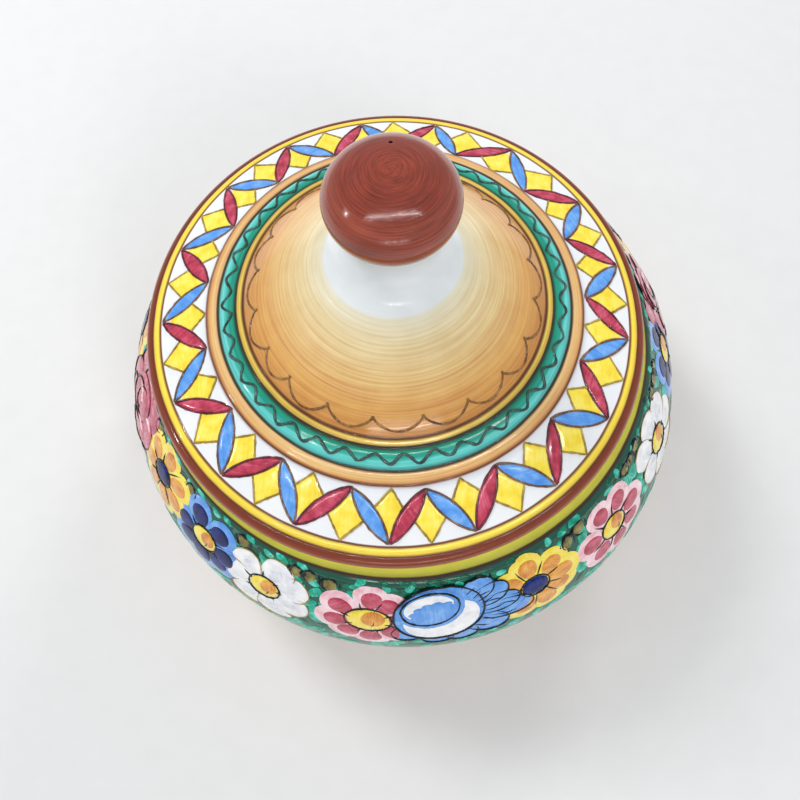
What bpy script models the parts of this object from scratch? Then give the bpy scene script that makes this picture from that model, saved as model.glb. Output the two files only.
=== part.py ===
"""Painted earthenware pot with a lift-off lid: bowl, foot ring, collar, lid, locating ring and knob."""

import bpy
import bmesh
from math import acos, cos, pi, sin, sqrt
from mathutils import Matrix, Vector
from mathutils.geometry import interpolate_bezier

# the pot, in metres
belly_radius = 0.1500           # widest radius of the bowl
belly_height = 0.0580           # table to the widest line
shoulder_radius = 0.1233        # where the collar is luted on
pot_height = 0.1206             # table to the top of the collar
wall = 0.0070                   # clay thickness of the bowl
foot_radius = 0.0750
foot_width = 0.0125
foot_height = 0.0085
collar_height = 0.0074
collar_flare = 0.0052           # how far the collar spreads on its way down
collar_land = 0.0105            # flat top of the collar that carries the lid

# the lid
lid_wall = 0.0056               # clay thickness of the lid
lid_overhang = 0.0018           # lid edge past the collar's top
lid_edge = 0.0061               # depth of the lid's rounded edge
edge_width = 0.0048
flange_width = 0.0264           # the sloping painted ring
flange_rise = 0.0080
ochre_width = 0.0061
ochre_rise = 0.0022
green_width = 0.0068
green_rise = 0.0025
roll_width = 0.0025
roll_rise = 0.0004
moulding_step = 0.0011          # how far each moulding stands up from the last
groove_width = 0.0008
dome_rise = 0.0543              # foot of the dome to the top of the neck
neck_radius = 0.0168            # outside of the neck, where the knob sits
locating_depth = 0.0100
locating_width = 0.0055

# the knob
knob_radius = 0.0251
knob_half_height = 0.0159
knob_wall = 0.0055
vent_radius = 0.0008
vent_offset = 0.0120            # vent behind the knob's centre

# clearances
joint_gap = 0.0003              # slip joint between luted parts, and under the lid
ring_clearance = 0.0030         # locating ring to collar, all round
soft_edge = 0.0012              # softening on clay corners

# places that follow from the sizes above
shoulder_height = pot_height - collar_height
bowl_bottom = foot_height + joint_gap
collar_radius = shoulder_radius - collar_flare
mouth_radius = collar_radius - collar_land
lid_radius = collar_radius + lid_overhang
lid_seat = pot_height + joint_gap
locating_radius = mouth_radius - ring_clearance
hollow_radius = locating_radius - locating_width
neck_bore = neck_radius - lid_wall

ring_steps = 60
knob_steps = 36


def glaze(name, colour, roughness):
    """Glazed clay with the same colour in the viewport as in a render."""
    material = bpy.data.materials.new(name)
    material.use_nodes = True
    shader = material.node_tree.nodes["Principled BSDF"]
    shader.inputs["Base Color"].default_value = (*colour, 1.0)
    shader.inputs["Roughness"].default_value = roughness
    shader.inputs["Metallic"].default_value = 0.0
    material.diffuse_color = (*colour, 1.0)
    material.roughness = roughness
    material.metallic = 0.0
    return material


def curve(start, start_handle, end_handle, end, count):
    """Points along a Bezier curve in the (radius, height) plane, without its end."""
    corners = [Vector((radius, height, 0.0)) for radius, height in (start, start_handle, end_handle, end)]
    points = interpolate_bezier(*corners, count + 1)
    return [(point.x, point.y) for point in points[:-1]]


def offset(points, distance):
    """The same run of points moved to the left of its direction."""
    moved = []
    for index, (radius, height) in enumerate(points):
        before = points[max(index - 1, 0)]
        after = points[min(index + 1, len(points) - 1)]
        along = after[0] - before[0]
        up = after[1] - before[1]
        length = sqrt(along * along + up * up)
        moved.append((radius - up / length * distance, height + along / length * distance))
    return moved


def revolve(name, profile, material, steps, base=0.0, closed=True):
    """Turn a (radius, height) profile round the Z axis; base is the height of the object's origin."""
    shape = bmesh.new()
    points = [shape.verts.new((radius, 0.0, height - base)) for radius, height in profile]
    edges = [shape.edges.new(pair) for pair in zip(points, points[1:])]
    if closed:
        edges.append(shape.edges.new((points[-1], points[0])))
    bmesh.ops.spin(
        shape,
        geom=points + edges,
        cent=(0.0, 0.0, 0.0),
        axis=(0.0, 0.0, 1.0),
        angle=2.0 * pi,
        steps=steps,
        use_merge=True,
    )
    bmesh.ops.remove_doubles(shape, verts=shape.verts, dist=0.000001)
    bmesh.ops.recalc_face_normals(shape, faces=shape.faces)
    for face in shape.faces:
        face.smooth = True
    mesh = bpy.data.meshes.new(name)
    shape.to_mesh(mesh)
    shape.free()
    mesh.materials.append(material)
    solid = bpy.data.objects.new(name, mesh)
    solid.location = (0.0, 0.0, base)
    bpy.context.scene.collection.objects.link(solid)
    return solid


def hang_on(child, parent):
    """Parent a luted part to the shell it moves with, staying where it is."""
    child.parent = parent
    child.matrix_parent_inverse = Matrix.Translation(-parent.location)


def bowl_outside():
    """Outer line of the bowl, from the edge of its flat bottom up to the shoulder."""
    rise = belly_height - bowl_bottom
    fall = shoulder_height - belly_height
    spread = belly_radius - foot_radius
    tuck = belly_radius - shoulder_radius
    lower = curve(
        (foot_radius, bowl_bottom),
        (foot_radius + spread * 0.62, bowl_bottom + rise * 0.02),
        (belly_radius, belly_height - rise * 0.52),
        (belly_radius, belly_height),
        16,
    )
    upper = curve(
        (belly_radius, belly_height),
        (belly_radius, belly_height + fall * 0.48),
        (shoulder_radius + tuck * 0.42, shoulder_height - fall * 0.26),
        (shoulder_radius, shoulder_height),
        10,
    )
    return lower + upper + [(shoulder_radius, shoulder_height)]


def build_bowl(material):
    """Bowl with an even wall, closed at the bottom, its shoulder turned in to carry the collar."""
    outer = bowl_outside()
    inner = [point for point in offset(outer, wall) if point[1] < shoulder_height - wall * 1.25]
    profile = [(0.0, bowl_bottom)] + outer
    profile.append((mouth_radius, shoulder_height))
    profile.append((mouth_radius, shoulder_height - wall * 0.9))
    profile += reversed(inner)
    profile.append((0.0, bowl_bottom + wall))
    return revolve("pot_bowl", profile, material, ring_steps, closed=False)


def build_foot(material):
    """Foot ring; its underside is the flat face the pot stands on."""
    inner_radius = foot_radius - foot_width
    profile = [
        (inner_radius + soft_edge, 0.0),
        (foot_radius - soft_edge, 0.0),
        (foot_radius - soft_edge * 0.3, soft_edge * 0.3),
        (foot_radius, soft_edge),
        (foot_radius, foot_height),
        (inner_radius, foot_height),
        (inner_radius, soft_edge),
        (inner_radius + soft_edge * 0.3, soft_edge * 0.3),
    ]
    return revolve("pot_foot_ring", profile, material, ring_steps)


def build_collar(material):
    """Collar luted on the shoulder; its flat top is the seat for the lid."""
    bottom = shoulder_height + joint_gap
    outside = curve(
        (shoulder_radius, bottom + soft_edge * 0.5),
        (shoulder_radius - collar_flare * 0.15, bottom + collar_height * 0.35),
        (collar_radius + collar_flare * 0.12, pot_height - collar_height * 0.30),
        (collar_radius, pot_height - soft_edge),
        6,
    )
    profile = [(shoulder_radius - soft_edge * 0.6, bottom)] + outside
    profile += [
        (collar_radius, pot_height - soft_edge),
        (collar_radius - soft_edge, pot_height),
        (mouth_radius + soft_edge, pot_height),
        (mouth_radius, pot_height - soft_edge),
        (mouth_radius, bottom),
    ]
    return revolve("pot_collar", profile, material, ring_steps)


def flange_line():
    """Top line of the lid's rounded edge and its sloping painted ring."""
    edge_radius = lid_radius - edge_width
    edge_top = lid_seat + lid_edge
    line = curve(
        (lid_radius - soft_edge * 0.5, lid_seat),
        (lid_radius + soft_edge * 0.4, lid_seat + lid_edge * 0.30),
        (lid_radius - soft_edge * 0.5, lid_seat + lid_edge * 0.80),
        (edge_radius, edge_top),
        6,
    )
    line += [(edge_radius, edge_top), (edge_radius - flange_width * 0.10, edge_top + flange_rise * 0.11)]
    line.append((edge_radius - flange_width, edge_top + flange_rise))
    return line


def moulding(line, width, rise):
    """Add one low moulding to the line: a step up, a rounded top and the groove after it."""
    radius, height = line[-1]
    radius -= moulding_step * 0.7
    height += moulding_step
    line.append((radius, height))
    line.append((radius - width * 0.5, height + rise * 0.67))
    line.append((radius - width, height + rise))
    line.append((radius - width - groove_width, height + rise))


def stepped_line():
    """Top line of the flange and the ochre, green and narrow mouldings, up to the foot of the dome."""
    line = flange_line()
    moulding(line, ochre_width, ochre_rise)
    moulding(line, green_width, green_rise)
    moulding(line, roll_width, roll_rise)
    return line


def dome_line(foot):
    """Smooth line from the foot of the dome, up the cone, to the top of the neck."""
    radius, height = foot
    top = height + dome_rise
    span = radius - neck_radius

    def at(share_in, share_up):
        return (radius - span * share_in, height + dome_rise * share_up)

    line = curve(foot, at(0.16, 0.14), at(0.39, 0.29), at(0.63, 0.47), 8)
    line += curve(at(0.63, 0.47), at(0.76, 0.575), at(0.985, 0.66), (neck_radius, top), 9)
    return line + [(neck_radius, top)]


def lid_outside():
    """Whole top line of the lid."""
    line = stepped_line()
    return line[:-1] + dome_line(line[-1])


def neck_top():
    """Height of the top of the neck, where the knob is luted on."""
    return stepped_line()[-1][1] + dome_rise


def lid_inside():
    """Under line of the lid, from the bore of the neck out to the hollow's edge."""
    start = flange_line()[-1]
    foot = stepped_line()[-1]
    reach = start[0] - foot[0]
    climb = foot[1] - start[1]
    smooth = curve(
        (start[0] + reach * 0.6, start[1] - climb * 0.55),
        start,
        (foot[0] + reach * 0.35, foot[1] - climb * 0.45),
        foot,
        8,
    )
    smooth += dome_line(foot)
    under = offset(smooth, lid_wall)
    under[-1] = (neck_bore, foot[1] + dome_rise)
    under = [point for point in under if point[0] < hollow_radius - lid_wall * 0.4]
    corner = (hollow_radius, max(under[0][1] - lid_wall * 0.25, lid_seat + joint_gap))
    return list(reversed(under)) + [corner, (hollow_radius, lid_seat)]


def build_lid(material):
    """Lid shell, one turning with an even wall, hollow underneath and open up the neck."""
    return revolve("lid_shell", lid_outside() + lid_inside(), material, ring_steps, lid_seat)


def build_locating_ring(material, lid):
    """Ring under the lid that drops inside the collar and keeps the lid centred."""
    top = lid_seat - joint_gap
    bottom = top - locating_depth
    profile = [
        (hollow_radius + soft_edge, bottom),
        (locating_radius - soft_edge * 2.0, bottom),
        (locating_radius - soft_edge * 0.5, bottom + soft_edge),
        (locating_radius, bottom + soft_edge * 3.0),
        (locating_radius, top),
        (hollow_radius, top),
        (hollow_radius, bottom + soft_edge),
    ]
    ring = revolve("lid_locating_ring", profile, material, ring_steps, lid_seat)
    hang_on(ring, lid)
    return ring


def ball_line(radius, half_height, centre, low_radius, count):
    """Line down a flattened ball from its top to where it is cut off at low_radius."""
    low = -acos(low_radius / radius)
    angles = [pi / 2.0 + (low - pi / 2.0) * index / count for index in range(count + 1)]
    line = [(radius * cos(angle), centre + half_height * sin(angle)) for angle in angles]
    line[0] = (0.0, centre + half_height)
    return line


def build_knob(material, lid):
    """Hollow flattened-ball knob, open to the neck below and pricked with one vent."""
    knob_seat = neck_top() + joint_gap
    seat_radius = neck_radius - joint_gap
    drop = knob_half_height * sqrt(1.0 - (seat_radius / knob_radius) ** 2)
    centre = knob_seat + drop
    outside = ball_line(knob_radius, knob_half_height, centre, seat_radius, 18)
    hollow = ball_line(knob_radius - knob_wall, knob_half_height - knob_wall, centre, neck_bore, 10)
    profile = outside + [(neck_bore, knob_seat)] + list(reversed(hollow))
    knob = revolve("lid_knob", profile, material, knob_steps, lid_seat, closed=False)
    hang_on(knob, lid)

    shape = bmesh.new()
    bmesh.ops.create_cone(
        shape,
        cap_ends=True,
        segments=12,
        radius1=vent_radius,
        radius2=vent_radius,
        depth=knob_half_height * 1.2,
        matrix=Matrix.Translation((0.0, vent_offset, centre + knob_half_height * 0.75)),
    )
    mesh = bpy.data.meshes.new("cut_vent")
    shape.to_mesh(mesh)
    shape.free()
    cutter = bpy.data.objects.new("cut_vent", mesh)
    cutter.hide_render = True
    cutter.display_type = "WIRE"
    bpy.context.scene.collection.objects.link(cutter)
    cut = knob.modifiers.new("vent", "BOOLEAN")
    cut.operation = "DIFFERENCE"
    cut.solver = "EXACT"
    cut.object = cutter
    return knob


def main():
    for old in list(bpy.data.objects):
        bpy.data.objects.remove(old, do_unlink=True)
    painted = glaze("painted_glaze", (0.035, 0.20, 0.15), 0.12)
    bare = glaze("bare_foot_clay", (0.62, 0.42, 0.30), 0.75)
    lime = glaze("lime_yellow_glaze", (0.58, 0.52, 0.06), 0.12)
    ochre = glaze("brushed_ochre_glaze", (0.78, 0.60, 0.33), 0.12)
    cream = glaze("cream_under_glaze", (0.80, 0.76, 0.66), 0.25)
    brown = glaze("red_brown_glaze", (0.26, 0.055, 0.03), 0.10)
    build_bowl(painted)
    build_foot(bare)
    build_collar(lime)
    lid = build_lid(ochre)
    build_locating_ring(cream, lid)
    build_knob(brown, lid)


main()
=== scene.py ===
import bpy
import random
from math import acos, atan2, cos, dist, hypot, pi, radians, sin, sqrt, tau
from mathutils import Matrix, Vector


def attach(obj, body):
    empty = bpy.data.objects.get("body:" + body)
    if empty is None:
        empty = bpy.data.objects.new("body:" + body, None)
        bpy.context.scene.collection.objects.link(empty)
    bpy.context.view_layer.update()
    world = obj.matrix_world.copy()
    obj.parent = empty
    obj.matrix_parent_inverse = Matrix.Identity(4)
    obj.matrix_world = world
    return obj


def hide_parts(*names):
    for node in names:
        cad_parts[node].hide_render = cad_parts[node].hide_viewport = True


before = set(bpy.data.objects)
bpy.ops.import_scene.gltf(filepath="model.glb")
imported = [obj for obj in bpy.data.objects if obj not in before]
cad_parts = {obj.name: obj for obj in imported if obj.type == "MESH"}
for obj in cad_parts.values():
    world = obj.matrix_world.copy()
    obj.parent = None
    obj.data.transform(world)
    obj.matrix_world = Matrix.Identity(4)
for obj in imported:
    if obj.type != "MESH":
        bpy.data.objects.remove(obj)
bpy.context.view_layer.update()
print("frame loaded:", sorted(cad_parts))

mm = 0.001
brushMap = "Brush"  # flat drawing coordinates of each painted dab, in millimetres


def clearSelection():
    if bpy.context.object and bpy.context.object.mode != "OBJECT":
        bpy.ops.object.mode_set(mode="OBJECT")
    bpy.ops.object.select_all(action="DESELECT")


def pick(objects):
    clearSelection()
    for item in objects:
        item.select_set(True)
    bpy.context.view_layer.objects.active = objects[0]


def linearColour(code):
    shares = [int(code[i:i + 2], 16) / 255 for i in (1, 3, 5)]
    return tuple(s / 12.92 if s <= 0.04045 else ((s + 0.055) / 1.055) ** 2.4 for s in shares) + (1,)


def addNode(tree, kind, settings=None, inputs=None):
    made = tree.nodes.new("ShaderNode" + kind)
    for key, value in (settings or {}).items():
        setattr(made, key, value)
    for key, value in (inputs or {}).items():
        if isinstance(value, bpy.types.Node):
            value = value.outputs[0]
        if isinstance(value, bpy.types.NodeSocket):
            tree.links.new(value, made.inputs[key])
        else:
            made.inputs[key].default_value = value
    return made


def fillRamp(ramp, stops):
    marks = ramp.color_ramp.elements
    while len(marks) < len(stops):
        marks.new(0.5)
    for mark, (place, colour) in zip(marks, stops):
        mark.position, mark.color = place, colour


def newMaterial(name):
    made = bpy.data.materials.new(name)
    made.use_nodes = True
    made.node_tree.nodes.clear()
    return made, made.node_tree, addNode(made.node_tree, "TexCoord").outputs["Object"]


def grainOf(place, size, detail):
    # noise whose blotches are about so many millimetres across
    return {"Vector": place, "Scale": 1 / (size * mm), "Detail": detail}


def rangeOf(value, before, after=(0, 1)):
    return {"Value": value, **dict(zip(("From Min", "From Max", "To Min", "To Max"), (*before, *after)))}


glass = dict(ior=1.52, shine=0.5, coatRoughness=0.04, peel=1.1, peelRise=0.012)  # peel in millimetres


def finishGlaze(tree, place, colour, look, ripple):
    # fired glass surface: slow swells, fine orange peel and a gloss that drifts a little
    swell = addNode(tree, "TexNoise", inputs=grainOf(place, look["swell"], 1))
    peel = addNode(tree, "TexNoise", inputs=grainOf(place, glass["peel"], 2))
    gloss = addNode(tree, "MapRange", inputs=rangeOf(peel, (0.35, 0.7), look["gloss"]))
    under = {}
    for height, rise in (swell, look["swellRise"]), (ripple, look["rippleRise"]), (peel, glass["peelRise"]):
        under = {"Normal": addNode(tree, "Bump", inputs={"Height": height, "Distance": rise * mm, **under})}
    shader = addNode(tree, "BsdfPrincipled", inputs={
        "Base Color": colour, "Roughness": gloss, "IOR": glass["ior"], "Coat Weight": look["coat"], **under,
        "Specular IOR Level": look.get("shine", glass["shine"]), "Coat Roughness": glass["coatRoughness"]})
    addNode(tree, "OutputMaterial", inputs={"Surface": shader})


times, timesPlus = {"operation": "MULTIPLY"}, {"operation": "MULTIPLY_ADD"}
wheel = dict(shake=14, cloud=9, cloudForce=0.8, cloudTint=(0.43, 0.56), detail=4, roughness=0.62)


def wheelGlaze(name, look):
    # colours banded round the wheel's axis, with the rings the brush leaves as the pot turns
    glaze, tree, place = newMaterial(name)
    flat = addNode(tree, "VectorMath", times, {0: place, 1: (1, 1, 0)})
    radius = addNode(tree, "VectorMath", {"operation": "LENGTH"}, {0: flat}).outputs["Value"]
    height = addNode(tree, "SeparateXYZ", inputs={0: place}).outputs["Z"]
    outShare = addNode(tree, "Math", times, {0: radius, 1: look["across"][0]})
    across = addNode(tree, "Math", timesPlus, {0: height, 1: look["across"][1], 2: outShare})
    wobble, start, end = [x * mm for x in (look["wobble"], look["bands"][0][0], look["bands"][-1][0])]
    shake = addNode(tree, "TexNoise", inputs=grainOf(place, wheel["shake"], 2))
    drift = addNode(tree, "Math", timesPlus, {0: shake, 1: 2 * wobble, 2: across})
    share = addNode(tree, "MapRange", inputs=rangeOf(drift, (start + wobble, end + wobble)))
    band = addNode(tree, "ValToRGB", inputs={0: share})
    force = addNode(tree, "ValToRGB", inputs={0: share})
    fillRamp(band, [((p * mm - start) / (end - start), linearColour(c)) for p, c in look["bands"]])
    fillRamp(force, [((p * mm - start) / (end - start), (f, f, f, 1)) for p, f in look["force"]])
    outward = addNode(tree, "VectorMath", {"operation": "NORMALIZE"}, {0: flat})
    turn = addNode(tree, "VectorMath", {"operation": "SCALE"}, {0: outward, "Scale": look["breakUp"]})
    along = addNode(tree, "Math", times, {0: across, 1: 1 / (look["brush"] * mm)})
    rings = addNode(tree, "TexNoise", {"noise_dimensions": "4D"}, {
        "Vector": turn, "W": along, "Scale": 1, "Detail": wheel["detail"], "Roughness": wheel["roughness"]})
    grey = addNode(tree, "MapRange", inputs=rangeOf(rings, (0.3, 0.7), look["streak"]))
    brushed = addNode(tree, "MixRGB", {"blend_type": "OVERLAY"},
        {"Fac": force, "Color1": band, "Color2": grey})
    cloud = addNode(tree, "TexNoise", inputs=grainOf(place, wheel["cloud"], 3))
    tint = addNode(tree, "MapRange", inputs=rangeOf(cloud, (0.3, 0.7), wheel["cloudTint"]))
    mottled = addNode(tree, "MixRGB", {"blend_type": "SOFT_LIGHT"},
        {"Fac": wheel["cloudForce"], "Color1": brushed, "Color2": tint})
    finishGlaze(tree, place, mottled, look, rings)
    return glaze


brush = dict(stretch=9, pool=5.5, detail=3, roughness=0.6, spread=(0.36, 0.64))


def paintGlaze(name, look):
    # enamel laid with a loaded brush: streaks run along the stroke, thicker paint is deeper
    glaze, tree, place = newMaterial(name)
    stroke = addNode(tree, "UVMap", {"uv_map": brushMap})
    along = addNode(tree, "Mapping", inputs={
        "Vector": stroke, "Scale": (1 / look["hair"], 1 / (look["hair"] * brush["stretch"]), 1)})
    hairs = addNode(tree, "TexNoise", inputs={
        "Vector": along, "Scale": 1, "Detail": brush["detail"], "Roughness": brush["roughness"]})
    pool = addNode(tree, "TexNoise", inputs=grainOf(place, brush["pool"], 2))
    pooled = addNode(tree, "Math", times, {0: pool, 1: look["pooling"]})
    mixed = addNode(tree, "Math", timesPlus, {0: hairs, 1: 1 - look["pooling"], 2: pooled})
    share = addNode(tree, "MapRange", inputs=rangeOf(mixed, brush["spread"]))
    ramp = addNode(tree, "ValToRGB", inputs={0: share})
    fillRamp(ramp, [(i / 2, linearColour(look[coat])) for i, coat in enumerate(("deep", "colour", "thin"))])
    finishGlaze(tree, place, ramp, look, hairs)
    return glaze


def enamel(colour, deep, thin, **changes):
    usual = dict(hair=1.1, gloss=(0.1, 0.2), swell=7, swellRise=0.05, rippleRise=0.03, coat=0.3, pooling=0.6)
    return dict(usual, colour=colour, deep=deep, thin=thin, **changes)


enamels = {  # colour as fired, where it pools, where it is thin
    "yellowEnamel": enamel("#F7E047", "#F0CF36", "#FAEA74"),  # warm, nearly opaque
    "skyEnamel": enamel("#5C9CE6", "#4A8ADB", "#7FB2EE"),  # clear blue, paler where the hairs part
    "crimsonEnamel": enamel("#BC3A54", "#98243E", "#D2607A"),  # wine red with pink streaks
    "pinkEnamel": enamel("#F4CDD4", "#E8AAB6", "#FAE4E7", hair=1.8, pooling=0.7),  # milky, with wide veins
    "roseEnamel": enamel("#C04C66", "#9A2E4A", "#DC8A9E"),  # lighter red, so the folds part
    "whiteEnamel": enamel("#F2F2F3", "#E2E3E8", "#FAFAFA", hair=2.2, pooling=0.8),  # thick tin white
    "greyEnamel": enamel("#E6E8EC", "#CFD3DB", "#F1F2F4", hair=2, pooling=0.75),  # shade on the white
    "navyEnamel": enamel("#08185E", "#040936", "#15328A", coat=0, shine=0.3),  # cobalt, almost black
    "orangeEnamel": enamel("#E2972F", "#C4731C", "#EFB654"),  # honey touch on yellow
    "turquoiseEnamel": enamel("#1BB094", "#067A5E", "#6ADCC8", hair=1.6, coat=0, shine=0.35),  # copper green
    "leafGreenEnamel": enamel("#0A5F47", "#033222", "#178A6A", coat=0, shine=0.35),  # deep green gaps
    "oliveEnamel": enamel("#7C7238", "#4A431C", "#A39A58", coat=0, shine=0.35),  # dull earth green
    "maroonLine": enamel("#5E1A28", "#3F0F18", "#8A3444", gloss=(0.16, 0.3)),  # dark edge of the red petals
    "outlineBlack": enamel("#161D1B", "#0A0E0D", "#2B3733", coat=0, shine=0.3),  # manganese black pen line
    "sgraffitoBrown": enamel("#6B4A38", "#4A3226", "#8E6F58", gloss=(0.22, 0.38)),  # scratched line, duller
    "scallopBrown": enamel("#80572C", "#5C3A1C", "#A67C48", gloss=(0.2, 0.34)),  # the same on honey glaze
    "sgraffitoOchre": enamel("#A0822A", "#785E1A", "#BEA24C", gloss=(0.22, 0.38)),  # the same through yellow
    "waveInk": enamel("#2D4A44", "#1A2E2A", "#4B6C62", gloss=(0.18, 0.3)),  # grey green, sunk in
}
paints = {name: paintGlaze(name, look) for name, look in enamels.items()}

# bands: millimetres along the profile and the colour there; force: how strongly the brush rings show
fired = dict(gloss=(0.09, 0.2), swell=16, swellRise=0.16, rippleRise=0.035, coat=0.35)
# the near-black bands at 71.7 to 73 mm and 80.9 to 81.9 mm lie in the grooves between the mouldings: a
# painted dark line with painted shade of the groove laid into it
lidLook = dict(fired, across=(1, 0), wobble=0.22, brush=0.85, breakUp=0.9, streak=(0.24, 0.76),
    bands=[(0, "#E0E5E7"), (28, "#E0E5E6"), (28.9, "#E2DCC2"), (37, "#E3CFA0"), (48, "#DFBA7C"),
    (58, "#D9A25A"), (67.6, "#C98A44"), (68.2, "#5E2F16"), (69.2, "#5E2F16"), (69.7, "#DDBE58"),
    (71.3, "#CDA944"), (71.7, "#3A3420"), (73, "#20302A"), (73.5, "#128468"), (76.2, "#1C9E8A"),
    (78.4, "#66D0CA"), (80.5, "#50BDB6"), (80.9, "#231E16"), (81.9, "#4A3424"), (82.4, "#E2B87C"),
    (85.3, "#DAAA6C"), (86.3, "#C48A50"), (86.8, "#74402A"), (87.6, "#74402A"), (88, "#E6E9EC"),
    (110.6, "#E9EBED"), (110.9, "#74402A"), (111.9, "#74402A"), (112.2, "#F4DC4C"), (114.7, "#EBCB3E"),
    (115.1, "#642812"), (121, "#9C4424")], force=[(0, 0), (26, 0.08), (34, 0.5), (60, 0.62), (72, 0.5),
    (80, 0.8), (87, 0.7), (89, 0.08), (110, 0.08), (113, 0.25), (121, 0.5)])
knobLook = dict(fired, across=(1.25, -1), wobble=0.1, brush=0.7, breakUp=1.1, streak=(0.2, 0.86), coat=0.35,
    bands=[(-230, "#843727"), (-200, "#7D3121"), (-193, "#8F4230"), (-160, "#7A2F20"), (-120, "#64251A")],
    force=[(-230, 0.8), (-120, 0.8)])
groundLook = dict(fired, across=(0, 1), wobble=0.5, brush=2.2, breakUp=4, streak=(0.3, 0.7), coat=0,
    shine=0.4, bands=[(0, "#DDD3B8"), (20, "#DFCB9E"), (34, "#DBAA60"), (50, "#CF954A"), (53.2, "#CE9448"),
    (53.6, "#5E2F16"), (54.8, "#5E2F16"), (55.2, "#C9C33A"), (59.8, "#BDB733"), (60.2, "#1A2A22"),
    (61.2, "#1A2A22"), (62, "#116450"), (100, "#0E5A46"), (110, "#0C5040"), (114, "#0B4838")],
    force=[(0, 0.3), (30, 0.5), (60, 0.4), (114, 0.5)])
collarLook = dict(fired, across=(0, 1), wobble=0.12, brush=1.6, breakUp=1.5, streak=(0.3, 0.72),
    bands=[(113, "#0C5040"), (115.9, "#0E5040"), (116.3, "#3A2412"), (116.8, "#3A2412"), (117.1, "#B5B23A"),
    (118.5, "#D2C944"), (119.5, "#B8AA3A"), (120.1, "#6A4A20"), (121, "#D8CFA8")], force=[(113, 0.45),
    (121, 0.35)])
creamLook = dict(fired, across=(1, 1), wobble=0.3, brush=4, breakUp=1, streak=(0.44, 0.56), gloss=(0.16, 0.3),
    bands=[(0, "#E4DAC0"), (120, "#E2D7BC"), (300, "#E6DDC6")], force=[(0, 0.4), (300, 0.4)])
footLook = dict(fired, across=(1, 0.4), wobble=0.3, brush=0.9, breakUp=2.4, streak=(0.3, 0.68),
    gloss=(0.62, 0.85), coat=0, swellRise=0.2, rippleRise=0.12, bands=[(0, "#C48E68"), (70, "#C9946C"),
    (90, "#BC8560")], force=[(0, 0.6), (90, 0.6)])
lidTopGlaze = wheelGlaze("tinGlazedLidTop", lidLook)  # white tin glaze, painted rings with painted groove shade in the near-black ones, brushed honey dome
knobGlaze = wheelGlaze("redBrownKnobGlaze", knobLook)  # iron red, glassy, lighter where the brush ran dry
groundGlaze = wheelGlaze("greenGroundGlaze", groundLook)  # copper green ground, ochre towards the foot
collarGlaze = wheelGlaze("limeCollarGlaze", collarLook)  # lime yellow band with a dark painted line
creamGlaze = wheelGlaze("creamInnerGlaze", creamLook)  # plain tin glaze inside the pot and under the lid
bareClay = wheelGlaze("bareFootClay", footLook)  # unglazed earthenware, matt, turning marks left in
print("glazes mixed")


def curvePoints(start, leave, arrive, end, count=20):
    shares = [i / count for i in range(count + 1)]
    return [tuple((1 - t) ** 3 * a + 3 * (1 - t) ** 2 * t * b + 3 * (1 - t) * t * t * c + t ** 3 * d
        for a, b, c, d in zip(start, leave, arrive, end)) for t in shares]


def tidyLine(points):
    kept = [points[0]]
    for point in points[1:]:
        if dist(point, kept[-1]) > 0.02 * mm:
            kept.append(point)
    return kept


sharpest = radians(28)


def softenLine(points, size, closed):
    # rounds each corner of the clay that turns more sharply than that
    points = tidyLine(points)
    done = []
    for i, here in enumerate(points):
        if not closed and i in (0, len(points) - 1):
            done.append(here)
            continue
        spot = Vector(here)
        back, on = Vector(points[i - 1]) - spot, Vector(points[(i + 1) % len(points)]) - spot
        if back.angle(-on) < sharpest:
            done.append(here)
            continue
        cut = min(size, back.length * 0.45, on.length * 0.45)
        a, c = spot + back.normalized() * cut, spot + on.normalized() * cut
        done += [tuple(a * (1 - t) ** 2 + spot * 2 * t * (1 - t) + c * t * t)
            for t in (0, 0.25, 0.5, 0.75, 1)]
    return done


def offsetLine(points, distance):
    moved = []
    for i, (radius, height) in enumerate(points):
        before, after = points[max(i - 1, 0)], points[min(i + 1, len(points) - 1)]
        along, up = after[0] - before[0], after[1] - before[1]
        length = hypot(along, up)
        moved.append((radius - up / length * distance, height + along / length * distance))
    return moved


def turnPiece(name, outline, steps, closed=True):
    # the outline is drawn as a poly line and spun on the wheel
    clearSelection()
    bpy.ops.curve.primitive_nurbs_path_add(location=(0, 0, 0))
    piece = bpy.context.object
    piece.name = name
    piece.data.splines.clear()
    line = piece.data.splines.new("POLY")
    line.points.add(len(outline) - 1)
    for point, (radius, height) in zip(line.points, outline):
        point.co = (radius, 0, height, 1)
    line.use_cyclic_u = closed
    bpy.ops.object.convert(target="MESH")
    bpy.ops.object.mode_set(mode="EDIT")
    bpy.ops.mesh.select_all(action="SELECT")
    bpy.ops.mesh.spin(steps=steps, angle=tau, center=(0, 0, 0), axis=(0, 0, 1))
    bpy.ops.mesh.select_all(action="SELECT")
    bpy.ops.mesh.remove_doubles(threshold=0.002 * mm)
    bpy.ops.mesh.normals_make_consistent(inside=False)
    bpy.ops.object.mode_set(mode="OBJECT")
    bpy.ops.object.shade_smooth_by_angle(angle=radians(40))
    return piece


def coatWith(piece, *glazes):
    for glaze in glazes:
        piece.data.materials.append(glaze)


def settle(piece, body, slot, *stoodFor):
    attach(piece, body)
    if stoodFor:
        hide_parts(*stoodFor)
    print("  set in place:", piece.name, len(piece.data.polygons), "faces")


pot = dict(
    belly=(0.15, 0.058), shoulder=(0.1233, 0.1132), foot=(0.075, 0.0088),  # radius and height
    wall=0.007, mouthRadius=0.1076, lipTop=0.1045, footWidth=0.0125, footHeight=0.0085,
    collarRadius=0.1181, collarBottom=0.1135, collarTop=0.1206, steps=192, lowerSteps=44, upperSteps=36)
# hand thrown: the bowl stands off the lid's axis by these millimetres, and not at all at its foot and mouth
lean = dict(shoulder=(2.9, -4.1), belly=(4.4, -4.6), footCalm=(0.009, 0.039), mouthCalm=(0.075, 0.102))


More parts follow.
